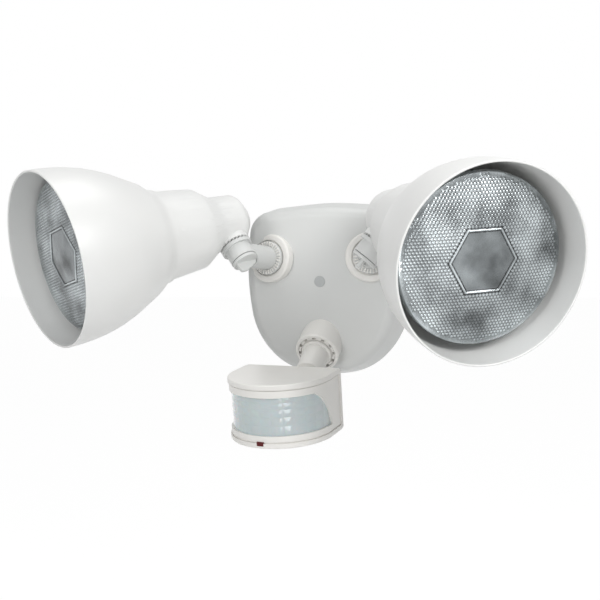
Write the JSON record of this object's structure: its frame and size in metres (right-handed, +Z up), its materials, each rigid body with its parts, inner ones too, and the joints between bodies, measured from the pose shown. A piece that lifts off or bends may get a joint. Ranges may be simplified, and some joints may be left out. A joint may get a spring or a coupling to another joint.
{
  "type": "motion sensor security light",
  "caption": "Wall-mounted twin-lamp security light with hooded reflector bulbs on toothed swivel arms and a motion sensor on a ball-jointed arm.",
  "frame": {"origin": "on the wall plane, on the axis of the canopy's central mounting bolt", "axes": "+X to the viewer's right, +Y into the wall, +Z up; the light faces -Y"},
  "size_m": [0.4563, 0.249, 0.2202],
  "materials": {
    "white_shell": "white powder coat on a die casting",
    "white_plastic": "satin white moulded plastic",
    "white_rubber": "white rubber plug",
    "black_foam": "closed-cell foam gasket",
    "zinc_steel": "zinc plated steel",
    "green_screw": "green grounding screw",
    "porcelain": "glazed porcelain lampholder",
    "nickel_brass": "nickel plated brass",
    "silvered_glass": "pressed glass, silvered inside",
    "burner_glass": "frosted halogen capsule",
    "lens_glass": "clear pressed glass with a prism pattern",
    "fresnel_film": "milky polyethylene lens sheet",
    "red_window": "red translucent indicator window",
    "board_laminate": "green solder-masked laminate",
    "black_plastic": "black moulded plastic",
    "photocell_face": "light cell face",
    "nylon": "natural nylon"
  },
  "bodies": {
    "canopy": {"canopy_cover": "white_shell", "canopy_gasket": "black_foam", "mounting_strap": "zinc_steel", "mounting_bolt": "zinc_steel", "bolt_plug": "white_rubber", "ground_screw": "green_screw"},
    "left_arm_body": {"left_arm": "white_shell", "left_arm_washer": "zinc_steel", "left_arm_nut": "zinc_steel"},
    "left_lamp_body": {"left_socket_housing": "white_plastic", "left_clamp_nut": "zinc_steel", "left_hood": "white_plastic", "left_bulb_gasket": "black_foam", "left_socket_porcelain": "porcelain", "left_socket_shell": "nickel_brass", "left_socket_contact": "nickel_brass", "left_socket_screws": "zinc_steel"},
    "left_wing_screw_body": {"left_wing_screw": "white_plastic"},
    "left_bulb_body": {"left_bulb_base": "nickel_brass", "left_bulb_reflector": "silvered_glass", "left_bulb_burner": "burner_glass", "left_bulb_lens": "lens_glass"},
    "right_arm_body": {"right_arm": "white_shell", "right_arm_washer": "zinc_steel", "right_arm_nut": "zinc_steel"},
    "right_lamp_body": {"right_socket_housing": "white_plastic", "right_clamp_nut": "zinc_steel", "right_hood": "white_plastic", "right_bulb_gasket": "black_foam", "right_socket_porcelain": "porcelain", "right_socket_shell": "nickel_brass", "right_socket_contact": "nickel_brass", "right_socket_screws": "zinc_steel"},
    "right_wing_screw_body": {"right_wing_screw": "white_plastic"},
    "right_bulb_body": {"right_bulb_base": "nickel_brass", "right_bulb_reflector": "silvered_glass", "right_bulb_burner": "burner_glass", "right_bulb_lens": "lens_glass"},
    "sensor_arm_body": {"sensor_arm": "white_plastic", "sensor_slotted_ring": "white_plastic", "sensor_arm_nut": "white_plastic"},
    "ball_liner_body": {"ball_liner": "nylon"},
    "sensor_head_body": {"sensor_front_housing": "white_plastic", "sensor_back_cover": "white_plastic", "sensor_lens": "fresnel_film", "sensor_lens_frame": "white_plastic", "led_window": "red_window", "circuit_board": "board_laminate", "pir_detector": "zinc_steel", "relay": "black_plastic", "photocell": "photocell_face", "sensor_screws": "zinc_steel", "ball_clamp": "white_plastic", "clamp_screw": "zinc_steel", "clamp_screw_nut": "zinc_steel"},
    "switch_body": {"on_time_switch": "black_plastic"},
    "dial_body": {"range_dial": "black_plastic"}
  },
  "joints": [
    {"name": "left_arm_turn", "type": "hinge", "parent": "canopy", "child": "left_arm_body", "pos_m": [-0.0468, -0.038, 0.0213], "axis": [-0.2376, -0.9671, 0.0906], "range_deg": [-45, 45]},
    {"name": "left_lamp_tilt", "type": "hinge", "parent": "left_arm_body", "child": "left_lamp_body", "pos_m": [-0.05737, -0.08104, 0.02533], "axis": [0.589, -0.2176, -0.7783], "range_deg": [-30, 45]},
    {"name": "left_wing_screw_turn", "type": "hinge", "parent": "left_arm_body", "child": "left_wing_screw_body", "pos_m": [-0.05737, -0.08104, 0.02533], "axis": [0.589, -0.2176, -0.7783], "continuous": true},
    {"name": "left_bulb_unscrew", "type": "slide", "parent": "left_lamp_body", "child": "left_bulb_body", "axis": [-0.5407, -0.8219, -0.1794], "range_m": [0, 0.03]},
    {"name": "right_arm_turn", "type": "hinge", "parent": "canopy", "child": "right_arm_body", "pos_m": [0.0468, -0.038, 0.0213], "axis": [0.2376, -0.9671, 0.0906], "range_deg": [-45, 45]},
    {"name": "right_lamp_tilt", "type": "hinge", "parent": "right_arm_body", "child": "right_lamp_body", "pos_m": [0.05737, -0.08104, 0.02533], "axis": [-0.605, -0.2203, -0.7651], "range_deg": [-45, 30]},
    {"name": "right_wing_screw_turn", "type": "hinge", "parent": "right_arm_body", "child": "right_wing_screw_body", "pos_m": [0.05737, -0.08104, 0.02533], "axis": [-0.605, -0.2203, -0.7651], "continuous": true},
    {"name": "right_bulb_unscrew", "type": "slide", "parent": "right_lamp_body", "child": "right_bulb_body", "axis": [0.5723, -0.7884, -0.2256], "range_m": [0, 0.03]},
    {"name": "sensor_arm_turn", "type": "hinge", "parent": "canopy", "child": "sensor_arm_body", "pos_m": [0, -0.0322, -0.0528], "axis": [0, -0.866, -0.5], "range_deg": [-30, 30]},
    {"name": "sensor_pan", "type": "hinge", "parent": "sensor_arm_body", "child": "ball_liner_body", "pos_m": [0, -0.08589, -0.0838], "axis": [-0.0109, -0.104, 0.9945], "range_deg": [-20, 20]},
    {"name": "sensor_nod", "type": "hinge", "parent": "ball_liner_body", "child": "sensor_head_body", "pos_m": [0, -0.08589, -0.0838], "axis": [0.9945, -0.1045, 0], "range_deg": [-20, 20]},
    {"name": "on_time_slide", "type": "slide", "parent": "sensor_head_body", "child": "switch_body", "axis": [0.9945, -0.1045, 0], "range_m": [-0.005, 0.005]},
    {"name": "range_dial_turn", "type": "hinge", "parent": "sensor_head_body", "child": "dial_body", "pos_m": [0.00688, -0.12861, -0.1219], "axis": [-0.0109, -0.104, 0.9945], "range_deg": [-135, 135]}
  ]
}
